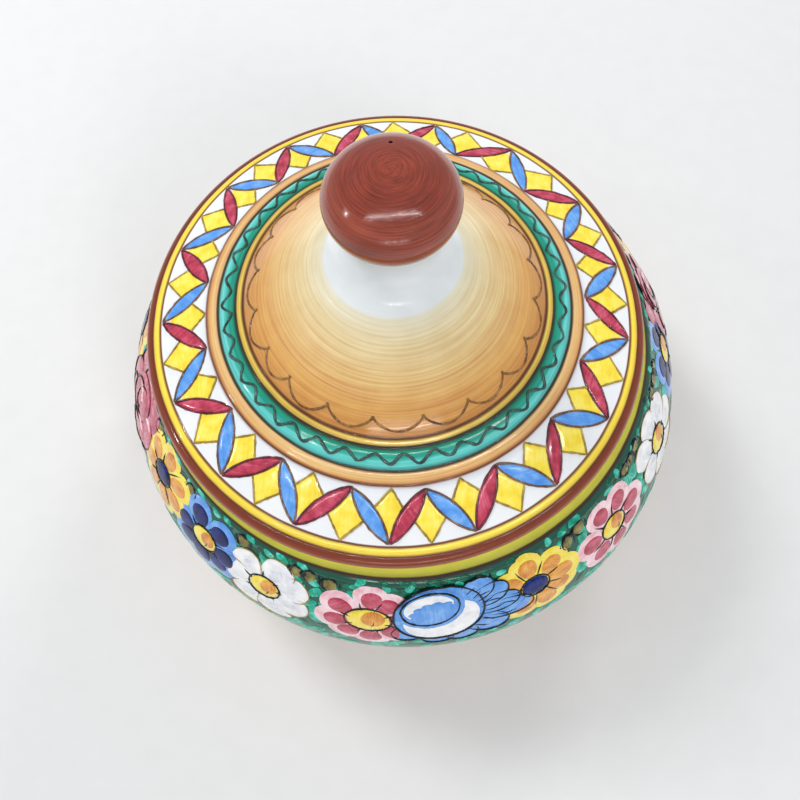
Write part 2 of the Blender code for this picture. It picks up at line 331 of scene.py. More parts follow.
def bowlOutside():
    foot, belly, shoulder = pot["foot"], pot["belly"], pot["shoulder"]
    spread, rise = belly[0] - foot[0], belly[1] - foot[1]
    tuck, fall = belly[0] - shoulder[0], shoulder[1] - belly[1]
    lower = curvePoints(foot, (foot[0] + spread * 0.62, foot[1] + rise * 0.02),
        (belly[0], belly[1] - rise * 0.52), belly, pot["lowerSteps"])
    upper = curvePoints(belly, (belly[0], belly[1] + fall * 0.48),
        (shoulder[0] + tuck * 0.42, shoulder[1] - fall * 0.26), shoulder, pot["upperSteps"])
    return lower + upper[1:]


def smoothStep(value, low, high):
    t = min(max((value - low) / (high - low), 0), 1)
    return t * t * (3 - 2 * t)


def leanAt(height):
    # how far the outside of the pot stands off the axis at a height
    top = smoothStep(height, pot["collarTop"], pot["collarBottom"])
    down = smoothStep(height, pot["shoulder"][1], pot["belly"][1])
    calm = smoothStep(height, *lean["footCalm"])
    return [(lean["shoulder"][i] * (1 - down) + lean["belly"][i] * down) * mm * top * calm for i in (0, 1)]


def leanPiece(piece, insideRadius):
    for vertex in piece.data.vertices:
        radius, height = hypot(vertex.co.x, vertex.co.y), vertex.co.z
        dx, dy = leanAt(height)
        held = 1
        if height > lean["mouthCalm"][0] and radius < insideRadius(height):
            held = 1 - smoothStep(height, *lean["mouthCalm"])  # the mouth stays true to the lid
        vertex.co.x += dx * held
        vertex.co.y += dy * held


outsideLine = bowlOutside()
insideLine = [p for p in offsetLine(outsideLine, pot["wall"])
    if pot["foot"][1] + pot["wall"] < p[1] < pot["shoulder"][1] - pot["wall"] * 1.25]
bowlLine = [(0, pot["foot"][1])] + outsideLine + [(pot["mouthRadius"], pot["shoulder"][1]),
    (pot["mouthRadius"], pot["shoulder"][1] - pot["wall"] * 0.9)]
bowlLine += insideLine[::-1] + [(0, pot["foot"][1] + pot["wall"])]
bowl = turnPiece("painted_bowl", softenLine(bowlLine, 0.9 * mm, False), pot["steps"], closed=False)


def midWall(height):
    # radius halfway through the wall of the bowl, and just inside its thicker lip
    near = min(outsideLine[pot["lowerSteps"]:], key=lambda p: abs(p[1] - height))
    if height >= pot["lipTop"]:
        return near[0] - 4 * mm
    return max(near[0] - pot["wall"] * 0.5, pot["mouthRadius"] + 2 * mm)


leanPiece(bowl, midWall)
coatWith(bowl, groundGlaze, creamGlaze)
for face in bowl.data.polygons:
    middle = face.center
    inWall = face.normal.dot(Vector((middle.x, middle.y, 0))) < -1e-4
    inFloor = face.normal.z > 0.9 and middle.z < 0.03
    onLip = middle.z > 0.1125 and hypot(middle.x, middle.y) < 0.119
    face.material_index = int(inWall or inFloor or onLip)
settle(bowl, "pot", "painted_glaze", "pot_bowl")

footOuter, footInner = pot["foot"][0], pot["foot"][0] - pot["footWidth"]
footLine = [(footInner, 0), (footInner + 3.5 * mm, 0), (footOuter - 3.5 * mm, 0), (footOuter, 0),
    (footOuter + 0.2 * mm, 3 * mm), (footOuter - 0.1 * mm, 6 * mm), (footOuter, pot["footHeight"]),
    (footInner, pot["footHeight"])]
footRing = turnPiece("foot_ring", softenLine(footLine, 1.2 * mm, True), pot["steps"])
coatWith(footRing, bareClay)
settle(footRing, "pot", "bare_foot_clay", "pot_foot_ring")

low, high, bottom, top = pot["shoulder"][0], pot["collarRadius"], pot["collarBottom"], pot["collarTop"]
collarSide = curvePoints((low, bottom + 0.5 * mm), (low - 0.8 * mm, 0.1161), (high + 0.6 * mm, 0.1184),
    (high, top - 1 * mm), 16)
collarLine = [(low - 0.7 * mm, bottom)] + collarSide
collarLine += [(high - 1 * mm, top), (pot["mouthRadius"], top), (pot["mouthRadius"], bottom)]
collar = turnPiece("lime_collar", softenLine(collarLine, 0.9 * mm, True), pot["steps"])
leanPiece(collar, lambda height: 0.1125)
coatWith(collar, collarGlaze)
settle(collar, "pot", "lime_yellow_glaze", "pot_collar")

lid = dict(
    seat=(0.1199, 0.1209), edge=(0.1151, 0.127), flange=(0.0887, 0.135), wall=0.0056,  # radius and height
    neckRadius=0.0168, domeRise=0.0543, hollowRadius=0.0991, locatingRadius=0.1046, neckBore=0.0112,
    stepUp=0.0011, groove=0.0008, steps=240)
mouldings = [(0.0061, 0.0022), (0.0068, 0.0025), (0.0025, 0.0004)]  # width and rise: ochre, green, roll


def steppedLine():
    seat, edge, inset, step = lid["seat"], lid["edge"], lid["stepUp"] * 0.35, lid["stepUp"]

    def off(corner, out, up):
        return (corner[0] + out * mm, corner[1] + up * mm)

    line = curvePoints(off(seat, -0.6, 0), off(seat, 0.5, 1.8), off(seat, -0.6, 4.9),
        off(edge, 0.5, -0.5), 14)
    line += [off(edge, 0.15, -0.55), off(edge, -0.25, 0.05)]
    # the yellow band swells a little, then the white field climbs straight
    line += curvePoints(off(edge, -0.3, 0.1), off(edge, -1, 0.75), off(edge, -2.2, 0.95),
        off(edge, -3.1, 0.85), 8)
    field = off(edge, -3.5, 1.02)
    line += [tuple(a + (b - a) * i / 14 for a, b in zip(field, lid["flange"])) for i in range(15)]
    for width, rise in mouldings:
        radius, height = line[-1][0] - inset, line[-1][1]
        crown = (radius - width * 0.5, height + step + rise * 0.62)
        last = (radius - width - inset, height + step + rise)
        line += curvePoints((radius, height), (radius - 0.25 * mm, height + step * 0.95),
            (crown[0] + width * 0.28, crown[1] - rise * 0.12), crown, 7)[1:]
        line += curvePoints(crown, (crown[0] - width * 0.26, crown[1] + rise * 0.3),
            off(last, 0.35, 0.3), last, 7)[1:]
        line.append((last[0] - lid["groove"], last[1]))
    return line


def domeLine(foot):
    span, top = foot[0] - lid["neckRadius"], foot[1] + lid["domeRise"]

    def at(inward, up):
        return (foot[0] - span * inward, foot[1] + lid["domeRise"] * up)

    waist, neck = at(0.63, 0.47), (lid["neckRadius"], top)
    line = curvePoints(foot, at(0.16, 0.14), at(0.39, 0.29), waist, 30)
    return line + curvePoints(waist, at(0.76, 0.575), at(0.985, 0.66), neck, 30)[1:]


lidTop = steppedLine()
domeFoot = lidTop[-1]
lidTop = lidTop[:-1] + domeLine(domeFoot)
neckTop = lidTop[-1][1]
print("dome foot", domeFoot, "neck top", neckTop)
flange, hollow = lid["flange"], lid["hollowRadius"]
narrow, climb = flange[0] - domeFoot[0], domeFoot[1] - flange[1]
under = curvePoints((flange[0] + narrow * 0.6, flange[1] - climb * 0.55), flange,
    (domeFoot[0] + narrow * 0.35, domeFoot[1] - climb * 0.45), domeFoot, 12)
under = offsetLine(under[:-1] + domeLine(domeFoot), lid["wall"])
under[-1] = (lid["neckBore"], neckTop)
under = [p for p in under if p[0] < hollow - lid["wall"] * 0.4]
hollowTop = max(under[0][1] - lid["wall"] * 0.25, lid["seat"][1] + 0.3 * mm)
lidLine = lidTop + under[::-1] + [(hollow, hollowTop), (hollow, lid["seat"][1])]
lidShell = turnPiece("painted_lid", softenLine(lidLine, 0.35 * mm, True), lid["steps"])
coatWith(lidShell, lidTopGlaze, creamGlaze)
flatMap = lidShell.data.uv_layers.new(name="OFBake")  # seen from above: the rings stay sharp when baked
flatMiddle, flatScale = (0.5, 0.065), (4.05, 0.5)  # painted top all over, cream inside in a corner
for face in lidShell.data.polygons:
    middle = face.center
    outward = face.normal.dot(Vector((middle.x, middle.y, 0)).normalized())
    inHollow = outward < -0.6 and hypot(middle.x, middle.y) < hollow + 1 * mm
    side = face.material_index = int(face.normal.z < -0.25 or inHollow)
    for corner in face.loop_indices:
        spot = lidShell.data.vertices[lidShell.data.loops[corner].vertex_index].co
        flatMap.data[corner].uv = [flatMiddle[side] + spot[i] * flatScale[side] for i in (0, 1)]
settle(lidShell, "lid", "brushed_ochre_glaze", "lid_shell")

top, bottom, outer = lid["seat"][1] - 0.3 * mm, lid["seat"][1] - 10.3 * mm, lid["locatingRadius"]
ringLine = [(hollow, bottom), (outer - 2.4 * mm, bottom), (outer - 0.6 * mm, bottom + 1.2 * mm),
    (outer, bottom + 3.6 * mm), (outer, top), (hollow, top)]
locatingRing = turnPiece("locating_ring", softenLine(ringLine, 1.1 * mm, True), pot["steps"])
coatWith(locatingRing, creamGlaze)
settle(locatingRing, "lid", "cream_under_glaze", "lid_locating_ring")

knob = dict(radius=0.0251, halfHeight=0.0159, wall=0.0055, ventBack=0.012, ventRadius=0.0008, steps=144)
knobSeat, seatRadius = neckTop + 0.3 * mm, lid["neckRadius"] - 0.3 * mm
knobMiddle = knobSeat + knob["halfHeight"] * sqrt(1 - (seatRadius / knob["radius"]) ** 2)


def ballLine(radius, halfHeight, lowRadius, count):
    low, top = -acos(lowRadius / radius), pi / 2
    turns = [top + (low - top) * i / count for i in range(count + 1)]
    line = [(radius * cos(a), knobMiddle + halfHeight * sin(a)) for a in turns]
    return [(0, knobMiddle + halfHeight)] + line[1:]


knobLine = ballLine(knob["radius"], knob["halfHeight"], seatRadius, 64) + [(lid["neckBore"], knobSeat)]
knobHollow = ballLine(knob["radius"] - knob["wall"], knob["halfHeight"] - knob["wall"], lid["neckBore"], 24)
knobLine = softenLine(knobLine + knobHollow[::-1], 0.8 * mm, False)
knobPiece = turnPiece("turned_knob", knobLine, knob["steps"], closed=False)
clearSelection()
bpy.ops.mesh.primitive_cylinder_add(
    vertices=20, radius=knob["ventRadius"], depth=knob["halfHeight"] * 1.2,
    location=(0, knob["ventBack"], knobMiddle + knob["halfHeight"] * 0.75))
pin = bpy.context.object
pick([knobPiece])
prick = knobPiece.modifiers.new("vent", "BOOLEAN")
prick.object, prick.solver = pin, "EXACT"
bpy.ops.object.modifier_apply(modifier=prick.name)
bpy.data.objects.remove(pin)
coatWith(knobPiece, knobGlaze)
settle(knobPiece, "lid", "red_brown_glaze", "lid_knob")
print("clay turned")

lidTable = sorted((p for p in lidTop if p[0] > 20 * mm), key=lambda p: p[0])


def heightOnLid(radius):
    for low, high in zip(lidTable, lidTable[1:]):
        if low[0] <= radius <= high[0]:
            share = (radius - low[0]) / max(high[0] - low[0], 1e-9)
            return low[1] + (high[1] - low[1]) * share
    return lidTable[-1][1]


def onLid(x, y, lift):
    # straight down onto the lid; all three in millimetres
    return Vector((x * mm, y * mm, heightOnLid(hypot(x, y) * mm) + lift * mm))


collarFoot = [p for p in reversed(collarSide) if p[1] < 0.116]  # painted over with the ground
sideLine = collarFoot + outsideLine[::-1]  # from the lime line down to the foot
sideRun = [-sum(dist(a, b) for a, b in zip(collarFoot, collarFoot[1:] + [outsideLine[-1]]))]
for upper, lower in zip(sideLine, sideLine[1:]):
    sideRun.append(sideRun[-1] + dist(upper, lower))


def onBowl(angle, drop, lift):
    # angle in degrees round the pot, drop in millimetres down the wall from the collar
    run = min(max(drop * mm, sideRun[0]), sideRun[-2])
    i = next(k for k in range(len(sideRun) - 1) if sideRun[k + 1] >= run)
    share = (run - sideRun[i]) / (sideRun[i + 1] - sideRun[i])
    (r0, z0), (r1, z1) = sideLine[i], sideLine[i + 1]
    radius, height = r0 + (r1 - r0) * share, z0 + (z1 - z0) * share
    slope = hypot(r1 - r0, z1 - z0)
    dx, dy = leanAt(height)
    radius, height = radius - (z1 - z0) / slope * lift * mm, height + (r1 - r0) / slope * lift * mm
    turn = radians(angle)
    return Vector((radius * cos(turn) + dx, radius * sin(turn) + dy, height))


perDegree = 2.44  # millimetres of wall in a degree, about halfway down the shoulder


def makeDab(corners):
    # a flat disc with rings inside it, the start of every painted shape
    clearSelection()
    bpy.ops.mesh.primitive_circle_add(vertices=corners, radius=1, fill_type="NGON")
    dab = bpy.context.object
    dab.name = "dab%d" % corners
    bpy.ops.object.mode_set(mode="EDIT")
    bpy.ops.mesh.select_all(action="SELECT")
    for step in (0.1, 0.24, 0.3):
        bpy.ops.mesh.inset(thickness=step, depth=0)
    bpy.ops.mesh.poke()
    bpy.ops.object.mode_set(mode="OBJECT")
    oneMap(dab.data)
    return dab


def oneMap(data):
    while data.uv_layers:
        data.uv_layers.remove(data.uv_layers[0])
    return data.uv_layers.new(name=brushMap).data


dabs = {count: makeDab(count) for count in (12, 24, 40)}
ringPlaces = {}  # of each corner: share of the way out from the middle, and its number round the ring
for count, dab in dabs.items():
    ringPlaces[count] = []
    for vertex in dab.data.vertices:
        share = vertex.co.xy.length
        index = round(atan2(vertex.co.y, vertex.co.x) / tau * count) % count if share > 0.01 else 0
        ringPlaces[count].append((share, index))


class PaintPot:
    # collects every dab of one colour, then makes them one piece

    def __init__(self, name, paint, body, slot, surface):
        self.name, self.paint, self.body, self.slot, self.surface = name, paint, body, slot, surface
        self.dabs, self.strokes = [], []

    def dab(self, outline, lift, thick, run=0):
        # outline: flat points in the surface's own coordinates; run: which way the brush went
        count = len(outline)
        middle = [sum(p[i] for p in outline) / count for i in (0, 1)]
        copy = dabs[count].data.copy()
        spread, drawn = [], []
        for share, index in ringPlaces[count]:
            x, y = [middle[i] + (outline[index][i] - middle[i]) * share for i in (0, 1)]
            rise = lift + thick * (1 - share ** 5) if share < 0.97 else lift - 0.1  # the rim sinks in
            spread.extend(self.surface(x, y, rise))
            drawn.append((x, y))
        copy.vertices.foreach_set("co", spread)
        copy.update()
        outward = self.surface(*middle, 1) - self.surface(*middle, 0)
        if sum((face.normal * face.area for face in copy.polygons), Vector()).dot(outward) < 0:
            copy.flip_normals()
        shiftX, shiftY = vary(0, 90), vary(0, 90)
        cosine, sine = cos(run), sin(run)
        stretch = perDegree if self.surface is onBowl else 1
        layer = copy.uv_layers[brushMap].data
        for loop in copy.loops:
            x, y = drawn[loop.vertex_index]
            x, y = (x - middle[0]) * stretch, y - middle[1]
            layer[loop.index].uv = (x * cosine - y * sine + shiftX, x * sine + y * cosine + shiftY)
        self.dabs.append(bpy.data.objects.new(self.name, copy))
        bpy.context.scene.collection.objects.link(self.dabs[-1])

    def stroke(self, points, width, lift=0, taper=True, closed=False):
        self.strokes.append((points, width, lift, taper, closed))

    def finish(self):
        parts = self.dabs + ([self.drawStrokes()] if self.strokes else [])
        pick(parts)
        if len(parts) > 1:
            bpy.ops.object.join()
        piece = bpy.context.view_layer.objects.active
        piece.name = self.name
        piece.data.materials.clear()
        coatWith(piece, paints[self.paint])
        for face in piece.data.polygons:
            face.material_index = 0
            face.use_smooth = True
        settle(piece, self.body, self.slot)

    def drawStrokes(self):
        clearSelection()
        bpy.ops.curve.primitive_nurbs_path_add(location=(0, 0, 0))
        line = bpy.context.object
        line.data.splines.clear()
        line.data.bevel_depth, line.data.bevel_resolution, line.data.use_fill_caps = 1 * mm, 1, True
        for points, width, lift, taper, closed in self.strokes:
            spline = line.data.splines.new("POLY")
            last = len(points) - 1
            spline.points.add(last)
            for i, (point, spot) in enumerate(zip(points, spline.points)):
                spot.co = (*self.surface(point[0], point[1], lift - width * 0.12), 1)
                ends = max(0.12, min(1, 5 * i / last, 3.2 * (1 - i / last))) if taper and not closed else 1
                spot.radius = width * 0.5 * ends * vary(0.78, 1.2)
            spline.use_cyclic_u = closed
        bpy.ops.object.convert(target="MESH")
        made = bpy.context.object
        layer = oneMap(made.data)
        for loop in made.data.loops:
            spot = made.data.vertices[loop.vertex_index].co
            layer[loop.index].uv = (spot.x / mm, spot.y / mm)
        return made


hand = random.Random(17)
vary = hand.uniform


def lensOutline(start, end, width, count=40, wobble=0):
    along, middle = (end - start) / 2, (start + end) / 2
    side = Vector((-along.y, along.x)).normalized()
    outline = []
    for i in range(count):
        turn = tau * i / count
        across = sin(turn) * abs(sin(turn)) ** 0.75
        bulge = side * across * width / 2 * (1 + vary(-wobble, wobble))
        spot = middle + along * cos(turn) + bulge
        outline.append((spot.x, spot.y))
    return outline


def polar(angle, radius):
    return (radius * cos(radians(angle)), radius * sin(radians(angle)))


def lidPaint(name, paint):
    return PaintPot(name, paint, "lid", "brushed_ochre_glaze", onLid)


ring = dict(  # degrees round the lid, millimetres out from its middle
    outerEnds=[11, 31.5, 55.5, 78, 98.5, 120, 140.5, 162, 183, 204.5, 226, 246.5, 268, 287.5, 308.5, 329,
    350.5],
    innerEnds=[0.3, 21, 42.5, 69, 89.5, 109.5, 130.3, 151.5, 172.4, 194.5, 215.5, 236.5, 257.5, 277.5, 298,
    319, 339.5],
    inner=88.4, outer=110.4, lensWidth=6.5, outerReach=0.57, innerReach=0.51, kiteApex=0.07, gap=0.55)
blueLenses = lidPaint("blue_lens_petals", "skyEnamel")
redLenses = lidPaint("crimson_lens_petals", "crimsonEnamel")
kites = lidPaint("yellow_kites", "yellowEnamel")
lensLines = lidPaint("blue_lens_outlines", "sgraffitoBrown")
redLines = lidPaint("crimson_lens_outlines", "maroonLine")
kiteLines = lidPaint("kite_outlines", "sgraffitoOchre")
lenses, ends = [], len(ring["outerEnds"])
for i, outerAngle in enumerate(ring["outerEnds"]):
    before = polar(ring["innerEnds"][i], ring["inner"] + vary(0.2, 1))
    after = polar(ring["innerEnds"][(i + 1) % ends], ring["inner"] + vary(0.2, 1))
    for paintPot, linePot, far, side in (blueLenses, lensLines, before, 1), (redLenses, redLines, after, -1):
        near, end = Vector(polar(outerAngle, ring["outer"] - 0.3)), Vector(far)
        onward = (end - near).normalized()
        near, end = near + onward * 0.9 + Vector((-onward.y, onward.x)) * side * 0.35, end - onward * 0.5
        width = ring["lensWidth"] * (1 if side > 0 else 0.94) * vary(0.95, 1.05)
        run = -atan2(onward.x, onward.y)
        paintPot.dab(lensOutline(near, end, width), 0.06, 0.34, run=run)
        lenses.append((near, end, width))
        edge = lensOutline(near - onward * 0.6, end + onward * 0.6, width + 0.3, wobble=0.03)
        linePot.stroke(edge, 1.2, lift=0.08, closed=True)


def lensEdge(lens, share, toward):
    # a point beside a lens, share of the way from its near end, on the side facing a point
    near, end, width = lens
    spot = near + (end - near) * share
    across = (width / 2) * sin(acos(1 - 2 * share)) ** 1.75 + ring["gap"]
    side = Vector((-(end - near).y, (end - near).x)).normalized()
    return spot + (side if (Vector(toward) - spot).dot(side) >= 0 else -side) * across


def layKite(first, second, tip, flip):
    # first and second: the two lenses whose shared end the kite's apex points at
    start, reach = ring["kiteApex"], ring["innerReach"] if flip else ring["outerReach"]
    shares = [start + (reach - start) * i / 7 for i in range(8)]
    if flip:
        shares = [1 - s for s in shares]
    tip = Vector(tip)
    sideA, sideB = [[lensEdge(lens, s, tip) for s in shares] for lens in (first, second)]
    outline = [(sideA[0] + sideB[0]) / 2] + sideA[1:] + [sideA[-1].lerp(tip, k / 5) for k in range(1, 5)]
    outline += [tip] + [tip.lerp(sideB[-1], k / 5) for k in range(1, 5)] + sideB[:0:-1]
    kites.dab(outline, 0.04, 0.22, run=vary(-0.3, 0.3))
    line = [sideA[-1].lerp(tip, k / 8) for k in range(9)] + [tip.lerp(sideB[-1], k / 8) for k in range(1, 9)]
    line = [p + Vector((vary(-0.1, 0.1), vary(-0.1, 0.1))) for p in line]
    kiteLines.stroke(line, 1.15, lift=0.06, taper=False)
    for side in (sideA, sideB):
        kiteLines.stroke(side, 0.6)


for i, outerAngle in enumerate(ring["outerEnds"]):
    blue, red, nextBlue = [lenses[(2 * i + k) % (2 * ends)] for k in (0, 1, 2)]
    layKite(blue, red, polar(outerAngle + vary(-0.4, 0.4), ring["inner"] - 0.5), False)
    nextEnd = ring["innerEnds"][(i + 1) % ends]
    layKite(red, nextBlue, polar(nextEnd + vary(-0.4, 0.4), ring["outer"] + 0.3), True)
for paintPot in (blueLenses, redLenses, kites, lensLines, redLines, kiteLines):
    paintPot.finish()

wave = dict(count=38, radius=76.6, depth=2, width=1.5)
waveLine = lidPaint("wavy_line", "waveInk")
points = []
for i in range(wave["count"]):
    depth, skew = wave["depth"] * vary(0.75, 1.15), vary(-0.12, 0.12)
    for k in range(12):
        t = k / 12
        swing = sin(tau * (t + skew * sin(tau * t) * 0.35))
        points.append(polar((i + t) * 360 / wave["count"], wave["radius"] + depth * swing))
waveLine.stroke(points, wave["width"], lift=0.1, closed=True)
waveLine.finish()

scallop = dict(cuspRadius=61.4, bellyRadius=66.9, width=1.2, round=0.72, cusps=[
    11.5, 30, 47, 65, 83, 101, 120, 138, 154.5, 171.5, 190, 208, 223.5, 242.5, 261, 280.5, 299, 317, 334.5,
    353, 371.5])
scallopLine = lidPaint("scallop_line", "scallopBrown")
for start, end in zip(scallop["cusps"], scallop["cusps"][1:]):
    depth = (scallop["bellyRadius"] - scallop["cuspRadius"]) * vary(0.88, 1.08)
    arc = [polar(start - 0.3 + (end - start + 0.6) * k / 24,
        scallop["cuspRadius"] - 0.3 + depth * abs(sin(pi * k / 24)) ** scallop["round"])
        for k in range(25)]
    scallopLine.stroke(arc, scallop["width"], lift=0.05, taper=False)
scallopLine.finish()
print("lid painted")


def bowlSpot(centre, x, y):
    return (centre[0] + x / perDegree, centre[1] - y)


def petalOutline(centre, turn, near, far, width, count=24, blunt=0.5, squash=0.9, wobble=0.012):
    # turn: degrees clockwise from straight up; near and far: millimetres from the flower's heart
    side, along = cos(radians(turn)), sin(radians(turn))
    outline = []
    for i in range(count):
        share = (1 - cos(tau * i / count)) / 2
        out = near + (far - near) * share
        across = sin(tau * i / count) * width / 2 * (1 - blunt + 2 * blunt * share ** 0.8)
        across *= 1 + vary(-wobble, wobble)
        outline.append(bowlSpot(centre, across * side + out * along, (out * side - across * along) * squash))
    return outline


def ovalOutline(centre, x, y, halfWidth, halfHeight, turn=0, count=24, wobble=0.012):
    side, along = cos(radians(turn)), sin(radians(turn))
    outline = []
    for i in range(count):
        a = tau * i / count
        u = halfWidth * cos(a) * (1 + vary(-wobble, wobble))
        v = halfHeight * sin(a) * (1 + vary(-wobble, wobble))
        outline.append(bowlSpot(centre, x + u * side + v * along, y - u * along + v * side))
    return outline


def bowlPaint(name, paint):
    return PaintPot(name, paint, "pot", "painted_glaze", onBowl)


leaves, olives = bowlPaint("turquoise_leaves", "turquoiseEnamel"), bowlPaint("olive_buds", "oliveEnamel")
shades = bowlPaint("dark_leaves", "leafGreenEnamel")
inks, fineLines = bowlPaint("ink_strokes", "outlineBlack"), bowlPaint("ochre_petal_lines", "sgraffitoOchre")
coats = {name: bowlPaint(piece, name + "Enamel") for name, piece in dict(
    pink="pink_petals", white="white_petals", sky="sky_blue_petals", yellow="yellow_petals",
    crimson="crimson_dabs", rose="rose_dabs", navy="navy_dabs", orange="orange_dabs",
    grey="grey_dabs").items()}


def penTick(centre, spots, width, lift):
    inks.stroke([bowlSpot(centre, x, y) for x, y in spots], width, lift=lift)


flowerKinds = {  # dab: near end, far end and width of the darker touch on each petal
    "pink": dict(petal="pink", touch="crimson", dab=(8.6, 21, 10.4), heart="yellow", spot="orange"),
    "white": dict(petal="white", touch="grey", dab=(8, 18.5, 6.6), heart="yellow", spot="orange"),
    "blue": dict(petal="sky", touch="navy", dab=(7, 20.5, 11.6), heart="yellow", spot="orange"),
    "yellow": dict(petal="yellow", touch="orange", dab=(7, 20.6, 10.2), heart="navy", spot=None),
}
flower = dict(near=3, far=25.2, width=16.6, blunt=0.34, heart=(7.6, 6.2), smallHeart=(7, 5.4),
    bigHeart=(10.4, 7.2), squash=0.9, rays=(12, 18.5), whiteRays=(9, 13))
garland = [  # kind, degrees round, millimetres down, turn of each petal
    ("yellow", -150, 18.5, (2, 60, 108, 158, -158, -108, -55)),
    ("blue", -134, 21.7, (-30, 36, 92, 130, 178, -138, -92)),
    ("white", -118.6, 22.6, (20, -49, -95, -150, 160, 113, 64)),
    ("pink", -97.5, 22.4, (3, -58, -100, -141, 175, 42, 85, 130)),
    ("yellow", -64.3, 19.8, (-8, 50, 91, 122, 161, -150, -105, -58)),
    ("pink", -44, 22.6, (-20, 35, 87, 127, 177, -130, -85)),
    ("white", -23, 21.7, (-5, 50, 100, 145, -165, -115, -60)),
    ("blue", -2.5, 20.7, (6, -62, -112, -160, 150, 105, 58)),
    ("yellow", 30, 20.5, (0, 50, 100, 150, -160, -108, -55)),
    ("white", 49, 22.5, (15, 66, 115, 165, -145, -92, -40)),
    ("pink", 68, 21.5, (-8, 44, 95, 147, -162, -110, -60)),
    ("blue", 103, 21, (10, 62, 112, 160, -150, -98, -44)),
    ("white", 120, 22, (-12, 40, 92, 142, -168, -118, -66)),
    ("yellow", 137.5, 20, (5, 55, 106, 157, -152, -100, -48)),
    ("pink", 156, 22.5, (18, 70, 120, 170, -140, -88, -36)),
    ("yellow", 173.5, 24.5, (-20, 32, 84, 136, -172, -120, -70)),
]


def paintFlower(kind, angle, drop, turns):
    look, centre = flowerKinds[kind], (angle, drop)
    base, full, broad, blunt = [flower[key] for key in ("near", "far", "width", "blunt")]
    for i, turn in enumerate(turns):
        size, raised, run = vary(0.95, 1.04), 0.24 + 0.045 * (i % 3), radians(turn)
        petal = petalOutline(centre, turn, base, full * size, broad, 24, blunt)
        coats[look["petal"]].dab(petal, raised, 0.24, run=run)
        near, far, width = look["dab"]
        touch = petalOutline(centre, turn + vary(-3, 3), near, far * size, width, 24, 0.16)
        coats[look["touch"]].dab(touch, raised + 0.27, 0.16, run=run)
        if kind == "white":
            edge = petalOutline(centre, turn, base + 2, full * size - 0.3, broad - 0.4, 40, blunt)
            part = hand.choice((2, 5, 9))
            fineLines.stroke(edge[part:part + hand.choice((22, 26, 29))], 0.55, lift=raised + 0.16)
    order = sorted(turns)
    for turn, follow in zip(order, order[1:] + [order[0] + 360]):
        between = radians((turn + follow) / 2 + vary(-5, 5))
        far = vary(*flower["whiteRays" if kind == "white" else "rays"])
        reach = [(5.5 + (far - 5.5) * t, between + 0.1 * t) for t in (0, 0.33, 0.66, 1)]
        penTick(centre, [(sin(a) * r, cos(a) * r * flower["squash"]) for r, a in reach], 0.85, 0.58)
    wide, high = flower["bigHeart" if angle == -97.5 else "smallHeart" if kind == "yellow" else "heart"]
    inks.stroke(ovalOutline(centre, 0, 0, wide + 0.7, high + 0.7, count=40), 1, lift=0.62, closed=True)
    coats[look["heart"]].dab(ovalOutline(centre, 0, 0, wide, high), 0.66, 0.3)
    if look["spot"]:
        spot = ovalOutline(centre, 2.1, 1.2, wide * 0.58, high * 0.74, -8)
        coats[look["spot"]].dab(spot, 0.92, 0.12)
        penTick(centre, ((1.5, -4.5), (2.6, -2.4), (2.9, 0.2)), 0.8, 1.05)


# leaf dabs all over the green ground, then buds and ink ticks under the collar
growth = dict(leaves=930, rows=(-1, 8, 19, 4, 28, 12, 36, 0.5, 44, 6, 24, 49), length=(9, 15), buds=112,
    width=(4.4, 7.2), turns=(20, -25, 60, -60, 95, 150, -150), top=-2.2, bottom=50)
for i in range(growth["leaves"]):
    row = growth["rows"][i % len(growth["rows"])]
    spot = (i * 360 / growth["leaves"] + vary(-2, 2),
        min(max(row + vary(-2.5, 3.5), growth["top"]), growth["bottom"]))
    length, width = vary(*growth["length"]), vary(*growth["width"])
    turn = hand.choice(growth["turns"]) + vary(-15, 15)
    if spot[1] < 6:
        length, width = length * 0.62, width * 0.85
    leaf = petalOutline(spot, turn, -length / 2, length / 2, width, 12, 0.1, 0.8, 0.06)
    (leaves if i % 3 else shades).dab(leaf, 0.03 + 0.05 * (i % 3), 0.14, run=radians(turn))
blooms = [(angle, drop, 26) for kind, angle, drop, turns in garland]  # with how far the petals reach
blooms += [(-82.5, 18.6, 27), (86.5, 19, 27), (-167.5, 16.5, 28), (11.5, 16.5, 28)]
for i in range(growth["buds"]):
    drops = (1.8, 4.6) if i % 5 else (6, 9)
    spot = (i * 360 / growth["buds"] + vary(-0.7, 0.7), vary(*drops))
    turn, w, h = vary(-30, 30), vary(2.6, 3.7), vary(3, 4.2)
    nearest = min(hypot(((spot[0] - a + 180) % 360 - 180) * perDegree, spot[1] - d) - far
        for a, d, far in blooms)
    if nearest < -2.2 or (nearest > 4 and i % 2):  # only in the gaps between the flowers
        continue
    olives.dab(ovalOutline(spot, 0, 0, w, h, turn, 12, 0.1), 0.16, 0.14)
    edge = ovalOutline(spot, 0, 0, w + 0.3, h + 0.3, turn, 24, 0.06)
    inks.stroke(edge[:hand.choice((17, 20, 24))], 1.5, lift=0.2)
    penTick(spot, ((w + 1.2, 3), (w + 1.8, 0), (w + 1, -3.6)), 1.4, 0.18)
    penTick(spot, ((-w - 1, 2.6), (-w - 1.9, 0.3), (-w - 0.6, -2.6)), 1.2, 0.18)
for bloom in garland:
    paintFlower(*bloom)

blueRose = dict(lift=1, reach=8, blunt=0.3, scallops=6, scallopDepth=0.13,
    fan=[(-128, 31, 13), (-165, 27, 14), (162, 27, 14), (127, 34, 15), (104, 43, 13),
    (91, 36, 12), (71, 33, 13), (50, 30, 14)])  # turn, length and width of each outer petal


